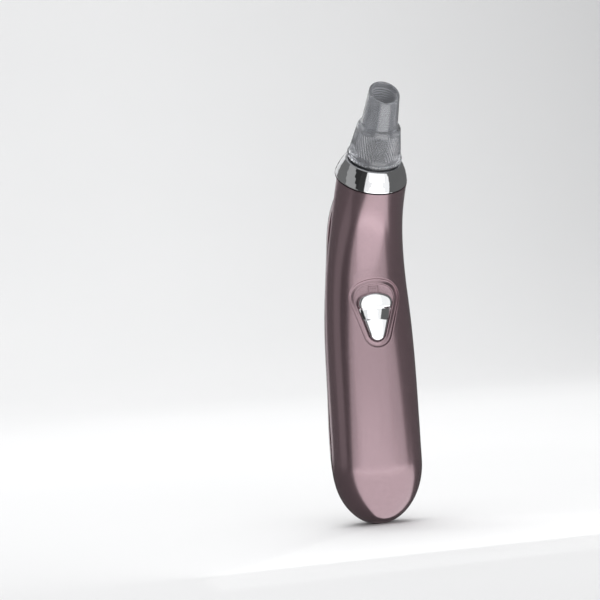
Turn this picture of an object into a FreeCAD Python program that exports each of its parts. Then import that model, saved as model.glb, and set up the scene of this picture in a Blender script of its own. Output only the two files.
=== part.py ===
"""Blackhead vacuum extractor: a hand-held suction cleaner for the skin, with a slide switch and a pull-off tip.

The row frame has its origin in the middle of the small flat foot under the bulb. +Z runs up the handle, -Y is the
front, where the slide button is, and +X is to the right seen from the front. Lengths are millimetres.

The handle's centreline is straight up to the bend, and then an arc that leans the neck forward. Three frames hold
the pieces: the handle itself, the drive frame (motor and pump) and the tip frame, whose own Z is the tip's axis.
"""

import FreeCAD, Part
import math
import os
import re
import Sketcher

from FreeCAD import Placement, Rotation, Vector

DRIVING_SIZES = {
    # handle: half widths run along X and half depths along the front-back direction
    "wall": 1.8,
    "bulb_height": 27.1,
    "cap_length": 27.6,
    "bulb_half_width": 20.7,
    "bulb_half_depth": 14.0,
    "grip_height": 58.0,
    "grip_half_width": 20.6,
    "grip_half_depth": 14.1,
    "thumb_height": 90.0,
    "thumb_half_width": 19.9,
    "thumb_half_depth": 13.6,
    "bend_height": 101.0,
    "bend_radius": 90.0,
    "neck_lean": 36.0,
    "throat_half_width": 17.6,
    "throat_half_depth": 13.7,
    "neck_half_width": 16.3,
    "neck_half_depth": 14.7,
    "ring_radius": 16.0,
    "foot_wrap": 3.0,
    "parting_shift": 0.4,
    # recess of the slide button: a rounded triangle, wide side up
    "recess_corner": 5.2,
    "recess_corner_x": 3.9,
    "recess_corner_z": 100.8,
    "recess_crown": 16.0,
    "recess_toe": 4.2,
    "recess_toe_z": 85.5,
    "dish_width": 2.2,
    "dish_depth": 0.9,
    "floor_depth": 2.7,
    "floor_thick": 1.6,
    "button_gap": 0.3,
    "button_corner": 4.0,
    "button_corner_z": 98.3,
    "button_crown": 12.5,
    "button_travel": 3.2,
    "stem_wide": 3.6,
    "stem_high": 4.0,
    "stem_height": 90.0,
    # battery bay and its cover
    "cell_radius": 7.1,
    "cell_length": 50.5,
    "cell_spacing": 15.0,
    "cell_bottom": 15.2,
    "cover_half_width": 15.6,
    "cover_bottom": 12.5,
    "cover_top": 70.5,
    "cover_corner": 7.0,
    "cover_gap": 0.25,
    # circuit board and switch
    "board_wide": 19.0,
    "board_bottom": 71.5,
    "board_high": 23.0,
    "board_thick": 1.2,
    "board_back": -0.6,
    # motor and pump
    "drive_y": 2.0,
    "drive_z": 99.5,
    "drive_lean": 12.0,
    "motor_radius": 7.7,
    "motor_length": 20.0,
    "can_wall": 0.7,
    "shaft_radius": 0.75,
    "shaft_play": 0.03,
    "pump_radius": 9.2,
    "hose_radius": 2.5,
    "hose_bore": 1.45,
    "hose_arc": 14.0,
    # parts on the tip's axis, heights counted from the neck's end face
    "ring_height": 8.8,
    "ring_top_radius": 12.4,
    "barrel_radius": 10.9,
    "tip_base": 10.0,
    "spigot_radius": 7.9,
    "filter_bore": 5.6,
    "tip_bore": 8.0,
    "tip_flange": 12.1,
    "tip_skirt": 11.5,
    "tip_shoulder": 9.4,
    "tip_neck": 7.9,
    "tip_mouth": 6.7,
    "tip_length": 33.0,
    "mouth_slant": 18.0,
    "flange_teeth": 48,
    "screw_x": 12.6,
    "screw_z": 79.0,
}

doc = FreeCAD.newDocument("BlackheadVacuum")
sizes = doc.addObject("Spreadsheet::Sheet", "sizes")
for row, (alias, number) in enumerate(DRIVING_SIZES.items(), start=1):
    sizes.set(f"A{row}", alias)
    sizes.set(f"B{row}", str(number))
    sizes.setAlias(f"B{row}", alias)
doc.recompute()

NODES = []


# --------------------------------------------------------------------------------------------- helpers
def size(alias):
    """One driving size, as a number."""
    return float(sizes.get(alias))


def linked(expression):
    """An expression with each driving size's alias written as a reference to the sheet."""
    return re.sub(r"[a-z_]+", lambda word: f"sizes.{word[0]}" if word[0] in DRIVING_SIZES else word[0], expression)


def value(expression):
    """The number that an expression of driving sizes gives now."""
    return float(sizes.evalExpression(linked(expression)))


def bind(thing, **expressions):
    """Bind properties of an object to expressions of the driving sizes."""
    for name, expression in expressions.items():
        thing.setExpression(name, linked(expression))
    return thing


def lean(frame_y, frame_z, degrees):
    """A frame that leans forward by a number of degrees, with its origin at a height and depth."""
    return Placement(Vector(0, frame_y, frame_z), Rotation(Vector(1, 0, 0), degrees))


def shifted(frame, x=0.0, y=0.0, z=0.0, turn=None):
    """A place given in a frame's own directions, turned there if a Rotation is given."""
    return frame * Placement(Vector(x, y, z), turn or Rotation())


def block(name, wide, deep, high, middle, frame=Placement()):
    """A box centred on a point in X and Y, and standing on it in Z."""
    box = bind(doc.addObject("Part::Box", name), Length=wide, Width=deep, Height=high)
    x, y, z = middle
    box.Placement = shifted(frame, x - value(wide) / 2, y - value(deep) / 2, z)
    return box


def rod(name, radius, high, foot, frame=Placement(), turn=None):
    """A cylinder that stands on a point of a frame."""
    cylinder = bind(doc.addObject("Part::Cylinder", name), Radius=radius, Height=high)
    cylinder.Placement = shifted(frame, *foot, turn)
    return cylinder


def cut(name, base, *tools):
    """The base less each tool in turn."""
    result = base
    for number, tool in enumerate(tools, start=1):
        step = doc.addObject("Part::Cut", name if number == len(tools) else f"{name}_step{number}")
        step.Base = result
        step.Tool = tool
        result = step
    return result


def fuse(name, *shapes):
    """Shapes joined into one solid."""
    result = doc.addObject("Part::MultiFuse", name)
    result.Shapes = list(shapes)
    result.Refine = True
    return result


def common(name, first, second):
    """What two shapes share."""
    result = doc.addObject("Part::Common", name)
    result.Base = first
    result.Tool = second
    return result


def group(name, *shapes):
    """Separate solids that share one node, such as a set of equal screws."""
    result = doc.addObject("Part::Compound", name)
    result.Links = list(shapes)
    return result


def node(thing, label):
    """Mark an object as a sub-part: its label names its file."""
    thing.Label = label
    NODES.append(thing)
    return thing


def origin_plane(body, role):
    """One of a body's own origin planes."""
    return next(plane for plane in body.Origin.OriginFeatures if plane.Role == role)


def turned(name, outline, frame=Placement()):
    """A body revolved about its frame's Z. The outline's corners are pairs of expressions: radius and height.

    Every corner of the sketch is held by two dimensions that are bound to the driving sizes.
    """
    body = doc.addObject("PartDesign::Body", name)
    sketch = body.newObject("Sketcher::SketchObject", f"{name}_outline")
    sketch.AttachmentSupport = [(origin_plane(body, "XZ_Plane"), "")]
    sketch.MapMode = "FlatFace"
    corners = [Vector(value(radius), value(high), 0) for radius, high in outline]
    count = len(corners)
    for index in range(count):
        sketch.addGeometry(Part.LineSegment(corners[index], corners[(index + 1) % count]), False)
    hold_corners(sketch, outline)
    spin = body.newObject("PartDesign::Revolution", f"{name}_turned")
    spin.Profile = sketch
    spin.ReferenceAxis = (sketch, ["V_Axis"])
    spin.Angle = 360
    body.Placement = frame
    return body


def hold_corners(sketch, outline):
    """Join a closed sketch's lines end to end, and bind each corner to the expressions that place it."""
    count = len(outline)
    for index in range(count):
        sketch.addConstraint(Sketcher.Constraint("Coincident", index, 2, (index + 1) % count, 1))
    for index, (radius, high) in enumerate(outline):
        for direction, expression in (("DistanceX", radius), ("DistanceY", high)):
            number = value(expression)
            dimension = sketch.addConstraint(Sketcher.Constraint(direction, -1, 1, index, 1, number))
            if number > 0:
                sketch.setExpression(f"Constraints[{dimension}]", linked(expression))


# ---------------------------------------------------------------------------------- handle: outer form
CAP_ANGLES = (10, 17, 27, 42, 63)
TIP_FRAME = lean(
    -size("bend_radius") * (1 - math.cos(math.radians(size("neck_lean")))),
    size("bend_height") + size("bend_radius") * math.sin(math.radians(size("neck_lean"))),
    size("neck_lean"),
)
DRIVE_FRAME = lean(size("drive_y"), size("drive_z"), size("drive_lean"))


def handle_section(name, half_width, half_depth, height, depth="0", tilt=0.0):
    """One oval cross-section of the handle, square to the centreline."""
    oval = bind(doc.addObject("Part::Ellipse", name), MajorRadius=half_width, MinorRadius=half_depth)
    oval.Placement = Placement(Vector(0, value(depth), value(height)), Rotation(Vector(1, 0, 0), tilt))
    oval.setExpression("Placement.Base.z", linked(height))
    return oval


def handle_form(name, inset):
    """The handle's outer form, or the form that lies a given distance inside it."""
    ovals = []
    for angle in CAP_ANGLES:
        ovals.append(
            handle_section(
                f"{name}_cap{angle}",
                f"( bulb_half_width - {inset} ) * sin({angle})",
                f"( bulb_half_depth - {inset} ) * sin({angle})",
                f"bulb_height - ( cap_length - {inset} ) * cos({angle})",
            )
        )
    for part in ("bulb", "grip", "thumb"):
        half_width = f"{part}_half_width - {inset}"
        ovals.append(handle_section(f"{name}_{part}", half_width, f"{part}_half_depth - {inset}", f"{part}_height"))
    for part, share in (("throat", 0.36), ("neck", 0.7)):
        tilt = share * size("neck_lean")
        height = f"bend_height + bend_radius * sin({tilt})"
        depth = f"bend_radius * ( cos({tilt}) - 1 )"
        half_depth = f"{part}_half_depth - {inset}"
        ovals.append(handle_section(f"{name}_{part}", f"{part}_half_width - {inset}", half_depth, height, depth, tilt))
    end = f"ring_radius - {inset}"
    tilt = size("neck_lean")
    height = f"bend_height + bend_radius * sin({tilt})"
    ovals.append(handle_section(f"{name}_end", end, end, height, f"bend_radius * ( cos({tilt}) - 1 )", tilt))
    form = doc.addObject("Part::Loft", name)
    form.Sections = ovals
    form.Solid = True
    form.Ruled = False
    return form


def recess_outline(grow, corner_x, corner_z, corner, crown, toe_z, toe):
    """Arcs and lines of a rounded triangle: two upper corners, a crown over them and a toe below."""
    crown_z = corner_z - math.sqrt((crown - corner) ** 2 - corner_x**2)
    span = math.hypot(corner_x, corner_z - toe_z)
    along = Vector(corner_x, corner_z - toe_z, 0) * (1 / span)
    rise = (toe - corner) / span
    side = along * rise + Vector(along.y, -along.x, 0) * math.sqrt(1 - rise**2)
    side_angle = math.atan2(side.y, side.x)
    crown_angle = math.atan2(corner_z - crown_z, corner_x)
    right = Vector(corner_x, corner_z, 0)
    left = Vector(-corner_x, corner_z, 0)
    low = Vector(0, toe_z, 0)

    def arc(centre, radius, start, end):
        return Part.ArcOfCircle(Part.Circle(centre, Vector(0, 0, 1), radius + grow), start, end)

    mirrored = Vector(-side.x, side.y, 0)
    return [
        arc(right, corner, side_angle, crown_angle),
        arc(Vector(0, crown_z, 0), crown, crown_angle, math.pi - crown_angle),
        arc(left, corner, math.pi - crown_angle, math.pi - side_angle),
        Part.LineSegment(left + mirrored * (corner + grow), low + mirrored * (toe + grow)),
        arc(low, toe, math.pi - side_angle, 2 * math.pi + side_angle),
        Part.LineSegment(low + side * (toe + grow), right + side * (corner + grow)),
    ]


def button_corner_x():
    """Where the button's corner circle sits, so that its sides run beside the recess's sides."""
    corner, toe = size("recess_corner"), size("recess_toe")
    across, up = size("recess_corner_x"), size("recess_corner_z") - size("recess_toe_z")
    span = math.hypot(across, up)
    rise = (toe - corner) / span
    level = math.sqrt(1 - rise**2)
    side_x = across / span * rise + up / span * level
    side_z = up / span * rise - across / span * level
    reach = side_z * size("recess_toe_z") + toe - size("button_gap")
    return (reach - size("button_corner") - side_z * size("button_corner_z")) / side_x


def front_prism(name, grow, back, thick):
    """The recess outline, grown outwards and run forward from a depth."""
    outline = recess_outline(
        grow,
        size("recess_corner_x"),
        size("recess_corner_z"),
        size("recess_corner"),
        size("recess_crown"),
        size("recess_toe_z"),
        size("recess_toe"),
    )
    return front_run(name, outline, back, thick)


def front_run(name, outline, back, thick):
    """A flat outline in the XZ plane, run forward from a depth."""
    sketch = doc.addObject("Sketcher::SketchObject", f"{name}_outline")
    sketch.addGeometry(outline, False)
    sketch.Placement = Placement(Vector(0, value(back), 0), Rotation(Vector(1, 0, 0), 90))
    prism = doc.addObject("Part::Extrusion", name)
    prism.Base = sketch
    prism.DirMode = "Custom"
    prism.Dir = Vector(0, -1, 0)
    prism.Solid = True
    return bind(prism, LengthFwd=thick)


outer_form = handle_form("outer_form", "0")
dish_form = handle_form("dish_form", "dish_depth")
inner_form = handle_form("inner_form", "wall")
liner_form = handle_form("liner_form", "( wall + 0.3 )")


def front_region():
    """The space in front of the parting line, which runs just behind the centreline. It takes in the foot."""
    bend, reach, wrap = size("bend_height"), size("bend_radius"), size("foot_wrap")
    shift = size("parting_shift")
    front, back, under = -70.0, 30.0, -5.0
    sweep = math.radians(55)
    centre = Vector(shift - reach, bend, 0)
    last = centre + Vector(math.cos(sweep), math.sin(sweep), 0) * reach
    corners = [
        Vector(shift, bend, 0),
        Vector(shift, wrap, 0),
        Vector(back, wrap, 0),
        Vector(back, under, 0),
        Vector(front, under, 0),
        Vector(front, last.y, 0),
        last,
    ]
    sketch = doc.addObject("Sketcher::SketchObject", "parting_outline")
    sketch.addGeometry([Part.LineSegment(first, second) for first, second in zip(corners, corners[1:])], False)
    sketch.addGeometry(Part.ArcOfCircle(Part.Circle(centre, Vector(0, 0, 1), reach), 0, sweep), False)
    sketch.Placement = Placement(Vector(), Rotation(Vector(1, 1, 1), 120))
    region = doc.addObject("Part::Extrusion", "front_half")
    region.Base = sketch
    region.DirMode = "Custom"
    region.Dir = Vector(1, 0, 0)
    region.Symmetric = True
    region.Solid = True
    return bind(region, LengthFwd="bulb_half_width * 4")


front_half = front_region()
below_foot = block("below_foot", "bulb_half_width * 4", "bulb_half_depth * 4", "20", (0, 0, -20))
casing = cut("casing", outer_form, inner_form, below_foot)


# ---------------------------------------------------------------------------------- handle: the shells
FRONT_POST_END, PILOT_END, SHANK_END = -7.4, -6.6, -6.4
HEAD_SEAT, HEAD_TOP, BACK_POST_END = 6.2, 7.6, 9.2
FLOOR_FRONT = "-( thumb_half_depth - floor_depth )"
FLOOR_BACK = "floor_depth - thumb_half_depth + floor_thick"


def screw_posts(name, radius, bottom, top):
    """A pair of posts that run front to back, one on each side of the circuit board."""
    posts = []
    for side in (-1, 1):
        foot = (side * size("screw_x"), top, size("screw_z"))
        post = rod(f"{name}_{side + 1}", radius, f"{top - bottom}", foot, turn=Rotation(Vector(1, 0, 0), 90))
        posts.append(post)
    return posts


def make_front_shell():
    """The front shell, with the button's recess, its floor and slot, and two screw posts."""
    skin = common("front_skin", casing, front_half)
    tray = front_prism("recess_tray", 1.6, FLOOR_BACK, "3.0")
    posts = screw_posts("front_post", "2.3", FRONT_POST_END, -0.2)
    rough = fuse("front_rough", skin, common("recess_tray_inside", tray, outer_form), *posts)
    dish = front_prism("dish_prism", size("dish_width"), "-6", "20")
    dish_ring = cut("dish_ring", common("dish_slice", dish, outer_form), dish_form)
    pocket = front_prism("recess_pocket", 0.0, FLOOR_FRONT, "12")
    slot = block(
        "stem_slot",
        "stem_wide + 0.8",
        "8",
        "stem_high + button_travel + 0.8",
        (0, -size("thumb_half_depth") + 3, size("stem_height") - 0.4),
    )
    pilots = screw_posts("front_pilot", "0.85", PILOT_END, 1.0)
    return node(cut("front_shell_cut", rough, dish_ring, pocket, slot, *pilots), "front_shell")


def cover_outline(shrink):
    """A rounded rectangle over the battery bay, seen from the back."""
    half = size("cover_half_width") - shrink
    low = size("cover_bottom") + shrink
    high = size("cover_top") - shrink
    corner = size("cover_corner") - shrink
    edges = []
    turns = ((1, 1, 0), (-1, 1, 90), (-1, -1, 180), (1, -1, 270))
    middles = []
    for side, level, start in turns:
        centre = Vector(side * (half - corner), (high - corner) if level > 0 else (low + corner), 0)
        first, last = math.radians(start), math.radians(start + 90)
        circle = Part.Circle(centre, Vector(0, 0, 1), corner)
        edges.append(Part.ArcOfCircle(circle, first, last))
        middles.append((circle.value(first), circle.value(last)))
    for index in range(len(middles)):
        edges.append(Part.LineSegment(middles[index][1], middles[(index + 1) % len(middles)][0]))
    return edges


def make_back_shell():
    """The back shell, open over the battery bay, with two countersunk screw posts."""
    skin = cut("back_skin", casing, front_half)
    posts = screw_posts("back_post", "2.7", 0.1, BACK_POST_END)
    opening = front_run("bay_opening", cover_outline(0.0), "30", "29")
    rough = cut("back_open", skin, opening)
    heads = screw_posts("head_room", "1.9", HEAD_SEAT, 16.0)
    clear = screw_posts("screw_room", "1.05", -1.0, 8.0)
    inside = [common(f"back_post_in{number}", post, outer_form) for number, post in enumerate(posts)]
    return node(cut("back_shell_cut", fuse("back_rough", rough, *inside), *heads, *clear), "back_shell")


def make_battery_cover():
    """The cover over the cells: a patch of the back's skin, with grip ribs cut in its top end."""
    patch = front_run("cover_patch", cover_outline(size("cover_gap")), "30", "29")
    skin = common("cover_skin", casing, patch)
    grooves = []
    for number in range(5):
        high = size("cover_top") - 4.5 - 2.2 * number
        groove = rod(
            f"cover_groove{number}",
            "0.7",
            "11",
            (-5.5, size("grip_half_depth") + 0.25, high),
            turn=Rotation(Vector(0, 1, 0), 90),
        )
        grooves.append(groove)
    latch = block("cover_latch", "7", "1.6", "3.4", (0, 12.1, size("cover_top") - 4.0))
    return node(cut("cover_cut", fuse("cover_rough", skin, latch), *grooves), "battery_cover")


def make_case_screws():
    """Two self-tapping screws that draw the halves together."""
    heads = screw_posts("screw_head", "1.7", HEAD_SEAT + 0.05, HEAD_TOP)
    shanks = screw_posts("screw_shank", "0.85", SHANK_END, HEAD_SEAT + 0.1)
    sockets = screw_posts("screw_drive", "0.6", HEAD_SEAT + 0.6, HEAD_TOP + 0.4)
    screws = []
    for number, (head, shank, socket) in enumerate(zip(heads, shanks, sockets)):
        screws.append(cut(f"case_screw{number}", fuse(f"case_screw_body{number}", head, shank), socket))
    return node(group("case_screw_pair", *screws), "case_screws")


# ------------------------------------------------------------------------------------ button and switch
def make_slide_button():
    """The chrome button: a domed pad, a thumb hollow and a flat toe, on a stem that reaches through the floor."""
    outline = recess_outline(
        0.0,
        button_corner_x(),
        size("button_corner_z"),
        size("button_corner"),
        size("button_crown"),
        size("recess_toe_z"),
        size("recess_toe") - size("button_gap"),
    )
    seat = size("thumb_half_depth") - size("floor_depth") + 0.2
    blank = front_run("button_blank", outline, f"{-seat}", "4.5")
    crest = size("thumb_half_depth") + 0.35
    # heights above the toe's centre: the pad's crown, the ridge under it, the hollow and the toe pad's two ends
    rows = {"pad_top": 17.6, "pad": 14.2, "ridge": 11.0, "hollow": 8.0, "edge": 5.2, "toe": -4.4}
    high = {name: size("recess_toe_z") + offset for name, offset in rows.items()}
    beyond = 3.0
    top, bottom = high["pad_top"] + beyond, high["toe"] - beyond
    profile = [Vector(0, -seat, bottom), Vector(0, -seat, top)]
    outer_points = (
        Vector(0, -crest + 1.0, high["pad_top"]),
        Vector(0, -crest - 0.25, high["pad"]),
        Vector(0, -crest + 0.1, high["ridge"]),
        Vector(0, -crest + 1.7, high["hollow"]),
        Vector(0, -crest + 0.25, high["edge"]),
        Vector(0, -crest + 0.45, high["toe"]),
    )
    edges = [
        Part.LineSegment(profile[0], profile[1]).toShape(),
        Part.LineSegment(profile[1], Vector(0, -crest + 1.0, top)).toShape(),
        Part.LineSegment(Vector(0, -crest + 1.0, top), outer_points[0]).toShape(),
        Part.Arc(outer_points[0], outer_points[1], outer_points[2]).toShape(),
        Part.Arc(outer_points[2], outer_points[3], outer_points[4]).toShape(),
        Part.LineSegment(outer_points[4], outer_points[5]).toShape(),
        Part.LineSegment(outer_points[5], Vector(0, -crest + 0.45, bottom)).toShape(),
        Part.LineSegment(Vector(0, -crest + 0.45, bottom), profile[0]).toShape(),
    ]
    side_face = doc.addObject("Part::Feature", "button_side_face")
    side_face.Shape = Part.Face(Part.Wire(edges))
    relief = doc.addObject("Part::Extrusion", "button_relief")
    relief.Base = side_face
    relief.DirMode = "Custom"
    relief.Dir = Vector(1, 0, 0)
    relief.Symmetric = True
    relief.LengthFwd = 40
    relief.Solid = True
    stem_base = -seat + 0.5
    stem = block("button_stem", "stem_wide", "3.2", "stem_high", (0, stem_base + 1.1, size("stem_height")))
    return node(fuse("button_whole", common("button_pad", blank, relief), stem), "slide_button")


def make_button_carrier():
    """The plate behind the recess floor that the button's stem clips into, with a fork for the switch lever."""
    back = size("floor_depth") - size("thumb_half_depth") + size("floor_thick")
    plate = block("carrier_plate", "11", "1.2", "12", (0, back + 0.85, size("stem_height") - 4))
    window = block("carrier_window", "stem_wide", "3", "stem_high", (0, back + 0.9, size("stem_height")))
    jaw_low = block("carrier_jaw_low", "4", "1.6", "1", (0, back + 2.2, size("stem_height") - 2.4))
    jaw_high = block("carrier_jaw_high", "4", "1.6", "1", (0, back + 2.2, size("stem_height") + 0.8))
    plain = cut("carrier_open", plate, window)
    bridge = block("carrier_bridge", "4", "0.6", "stem_high + 0.4", (0, back + 1.75, size("stem_height") - 2.4))
    return node(fuse("carrier_whole", plain, jaw_low, jaw_high, bridge), "button_carrier")


def make_switch():
    """The slide switch on the board: a steel shell round a moulded body, and the lever that slides in it."""
    back = size("floor_depth") - size("thumb_half_depth") + size("floor_thick")
    body_front = back + 4.0
    board_front = size("board_back") - size("board_thick")
    deep = board_front - body_front
    low = size("stem_height") - 4.0
    shell = block("switch_block", "8.4", f"{deep}", "10.5", (0, body_front + deep / 2, low - 1.4))
    slit = block("switch_slit", "2.6", "3.2", "7.0", (0, body_front + 0.2, low + 1.4))
    lever = block("switch_knob", "2", "3.4", "1.8", (0, body_front - 0.2, size("stem_height") - 1.2))
    node(cut("switch_open", shell, slit), "switch_body")
    return node(lever, "switch_lever")


def make_circuit_board():
    """The circuit board, its small parts and the two screws that hold it."""
    middle = size("board_back") - size("board_thick") / 2
    board = block("board_plate", "board_wide", "board_thick", "board_high", (0, middle, size("board_bottom")))
    holes = []
    screws = []
    across = Rotation(Vector(1, 0, 0), 90)
    for side in (-1, 1):
        x, z = side * 7.6, size("board_bottom") + 2.4
        holes.append(rod(f"board_hole{side + 1}", "0.9", "6", (x, middle + 3, z), turn=across))
        head = rod(f"board_head{side + 1}", "1.6", "0.9", (x, size("board_back") - size("board_thick"), z), turn=across)
        shank = rod(f"board_shank{side + 1}", "0.8", "6.0", (x, middle + 4.4, z), turn=across)
        screws.append(fuse(f"board_screw{side + 1}", head, shank))
    node(cut("board_drilled", board, *holes), "circuit_board")
    node(group("board_screw_pair", *screws), "board_screws")
    front = size("board_back") - size("board_thick")
    chip = block("driver_chip", "5", "1.4", "4", (-4.2, front - 0.7, size("board_bottom") + 5.5))
    diode = block("diode", "4.2", "1.8", "2", (4.6, front - 0.9, size("board_bottom") + 8.2))
    can = rod("capacitor", "2.0", "4.4", (4.4, front, size("board_bottom") + 4.6), turn=across)
    return node(group("board_parts_set", chip, diode, can), "board_parts")


# -------------------------------------------------------------------------------------------- batteries
def cell_outline():
    """Half outline of one cell: can, shoulder and the raised contact on its top."""
    return [
        ("0", "0"),
        ("cell_radius", "0"),
        ("cell_radius", "cell_length - 1.2"),
        ("2.6", "cell_length - 1.2"),
        ("2.6", "cell_length"),
        ("0", "cell_length"),
    ]


def make_cells():
    """Two AA cells side by side. The right one stands on its raised contact."""
    half = size("cell_spacing") / 2
    left = Placement(Vector(-half, 0, size("cell_bottom")), Rotation())
    flip = Rotation(Vector(1, 0, 0), 180)
    right = Placement(Vector(half, 0, size("cell_bottom") + size("cell_length")), flip)
    node(turned("cell_left", cell_outline(), left), "battery_left")
    return node(turned("cell_right", cell_outline(), right), "battery_right")


def make_battery_tray():
    """The moulded bay: a floor in front of the cells and an end wall at each end."""
    low = size("cell_bottom") - 2.6
    top = size("cell_bottom") + size("cell_length") + 1.6
    floor = block("tray_floor", "33", "1.2", f"{top - low}", (0, -size("cell_radius") - 0.9, low))
    bottom = block("tray_bottom", "34", "17", "1.2", (0, 0.6, low))
    lid = block("tray_top", "34", "17", "1.2", (0, 0.6, top))
    rough = fuse("tray_rough", floor, bottom, lid)
    slots = []
    for side in (-1, 1):
        slots.append(block(f"tab_slot{side + 1}", "2.8", "0.8", "3", (side * size("cell_spacing") / 2, -3.3, top - 1)))
    return node(cut("tray_slotted", common("tray_fitted", rough, liner_form), *slots), "battery_tray")


def make_contacts():
    """The bridge under the cells, a contact over each, and the two springs."""
    half = size("cell_spacing") / 2
    low = size("cell_bottom") - 1.4
    top = size("cell_bottom") + size("cell_length")
    node(block("bridge_plate", "24", "7", "0.4", (0, 0, low)), "bridge_contact")
    for side, label in ((-1, "positive_contact"), (1, "negative_contact")):
        plate = block(f"{label}_plate", "7", "7", "0.4", (side * half, 0, top + 1.2))
        tab = block(f"{label}_tab", "2.4", "0.4", "7.2", (side * half, -3.3, top + 1.2))
        node(fuse(f"{label}_whole", plate, tab), label)
    coils = []
    for side, foot, turns in ((-1, low + 0.4, 3), (1, top + 0.2, 3)):
        for number in range(turns):
            coil = bind(doc.addObject("Part::Torus", f"coil{side + 1}{number}"), Radius1="2.9", Radius2="0.17")
            coil.Placement = Placement(Vector(side * half, 0, foot + 0.17 + 0.33 * number), Rotation())
            coils.append(coil)
    return node(group("spring_pair", *coils), "contact_springs")


# --------------------------------------------------------------------------------------- motor and pump
def make_motor():
    """The motor: can, magnets, end cap, bushes and the rotor that turns in them."""
    inner = "( motor_radius - can_wall )"
    can = [
        ("motor_radius", "0"),
        ("motor_radius", "motor_length"),
        ("2.4", "motor_length"),
        ("2.4", "motor_length - can_wall"),
        (inner, "motor_length - can_wall"),
        (inner, "0"),
    ]
    node(turned("can", can, DRIVE_FRAME), "motor_can")
    lined = [
        ("5.2", "3.6"),
        (f"{inner} - 0.05", "3.6"),
        (f"{inner} - 0.05", "16.4"),
        ("5.2", "16.4"),
    ]
    ring = turned("magnet_ring", lined, DRIVE_FRAME)
    gap = block("magnet_gap", "3.4", "20", "20", (0, 0, 0), DRIVE_FRAME)
    node(cut("magnet_pair", ring, gap), "motor_magnets")
    cap = [
        ("1.6", "-2.3"),
        ("motor_radius - 0.2", "-2.3"),
        ("motor_radius - 0.2", "0"),
        (f"{inner} - 0.05", "0"),
        (f"{inner} - 0.05", "1.4"),
        ("1.6", "1.4"),
    ]
    low_frame = shifted(DRIVE_FRAME, z=-3.0)
    raised = [(radius, f"( {high} ) + 3.0") for radius, high in cap]
    node(turned("end_cap", raised, low_frame), "motor_end_cap")
    bushes = []
    for number, (radius, low, high) in enumerate((("1.6", "0.8", "3.6"), ("2.4", "21.6", "23.4"))):
        bore = "( shaft_radius + shaft_play )"
        bush = [(bore, low), (radius, low), (radius, high), (bore, high)]
        bushes.append(turned(f"bush{number}", bush, low_frame))
    node(group("bush_pair", *bushes), "motor_bushes")
    rotor = [
        ("0", "1.0"),
        ("shaft_radius", "1.0"),
        ("shaft_radius", "4.4"),
        ("2.1", "4.4"),
        ("2.1", "6.4"),
        ("4.8", "7.0"),
        ("4.8", "18.6"),
        ("2.0", "19.2"),
        ("2.0", "20.4"),
        ("shaft_radius", "20.4"),
        ("shaft_radius", "28.4"),
        ("0", "28.4"),
    ]
    return node(turned("rotor_whole", rotor, low_frame), "rotor")


def make_eccentric():
    """The crank wheel on the shaft, with the pin that wobbles the plate above it."""
    wheel = [
        ("shaft_radius", "0"),
        ("3.9", "0"),
        ("3.9", "2.2"),
        ("shaft_radius", "2.2"),
    ]
    disc = turned("crank_disc", wheel, shifted(DRIVE_FRAME, z=21.6))
    pin = rod("crank_pin", "0.6", "3.4", (1.9, 0, 23.4), DRIVE_FRAME)
    return node(fuse("crank_whole", disc, pin), "eccentric")


def make_pump():
    """The pump's case, wobble plate, diaphragm, valve plate, head and screws, stacked on the motor."""
    case = [
        ("2.6", "0"),
        ("pump_radius", "0"),
        ("pump_radius", "8.4"),
        ("pump_radius - 1.2", "8.4"),
        ("pump_radius - 1.2", "1.2"),
        ("2.6", "1.2"),
    ]
    node(turned("pump_case", case, shifted(DRIVE_FRAME, z=20.0)), "crank_case")
    plate = [
        ("2.9", "0"),
        ("6.6", "0"),
        ("6.6", "1.0"),
        ("3.6", "1.0"),
        ("3.6", "2.4"),
        ("0", "2.4"),
        ("0", "1.6"),
        ("2.9", "1.6"),
    ]
    node(turned("wobbler", plate, shifted(DRIVE_FRAME, z=25.4)), "wobble_plate")
    sheet = [
        ("0", "0"),
        ("pump_radius", "0"),
        ("pump_radius", "0.9"),
        ("0", "0.9"),
    ]
    node(turned("pump_sheet", sheet, shifted(DRIVE_FRAME, z=28.4)), "diaphragm")
    valves = [
        ("0", "0"),
        ("pump_radius", "0"),
        ("pump_radius", "1.6"),
        ("0", "1.6"),
    ]
    valve_block = turned("valve_block", valves, shifted(DRIVE_FRAME, z=29.3))
    ports = []
    for number in range(4):
        angle = math.radians(45 + 90 * number)
        foot = (4.6 * math.cos(angle), 4.6 * math.sin(angle), 28.9)
        ports.append(rod(f"valve_port{number}", "0.9", "3", foot, DRIVE_FRAME))
    node(cut("valve_drilled", valve_block, *ports), "valve_plate")
    head = [
        ("hose_bore - 0.55", "1.4"),
        ("6.4", "1.4"),
        ("6.4", "0"),
        ("pump_radius", "0"),
        ("pump_radius", "3.8"),
        ("hose_bore", "3.8"),
        ("hose_bore", "8.2"),
        ("hose_bore - 0.55", "8.2"),
    ]
    node(turned("pump_cap", head, shifted(DRIVE_FRAME, z=30.9)), "pump_head")
    screws = []
    for number in range(3):
        angle = math.radians(90 + 120 * number)
        foot = (7.6 * math.cos(angle), 7.6 * math.sin(angle), 34.7)
        screws.append(rod(f"pump_screw{number}", "1.1", "0.8", foot, DRIVE_FRAME))
    return node(group("pump_screw_set", *screws), "pump_screws")


def make_motor_mount():
    """The rubber collar that holds the motor clear of the shells."""
    slab = rod("mount_slab", "30", "6", (0, 0, 12.8), DRIVE_FRAME)
    hole = rod("mount_hole", "motor_radius", "30", (0, 0, -4), DRIVE_FRAME)
    return node(cut("mount_ring", common("mount_fitted", slab, liner_form), hole), "motor_mount")


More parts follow.
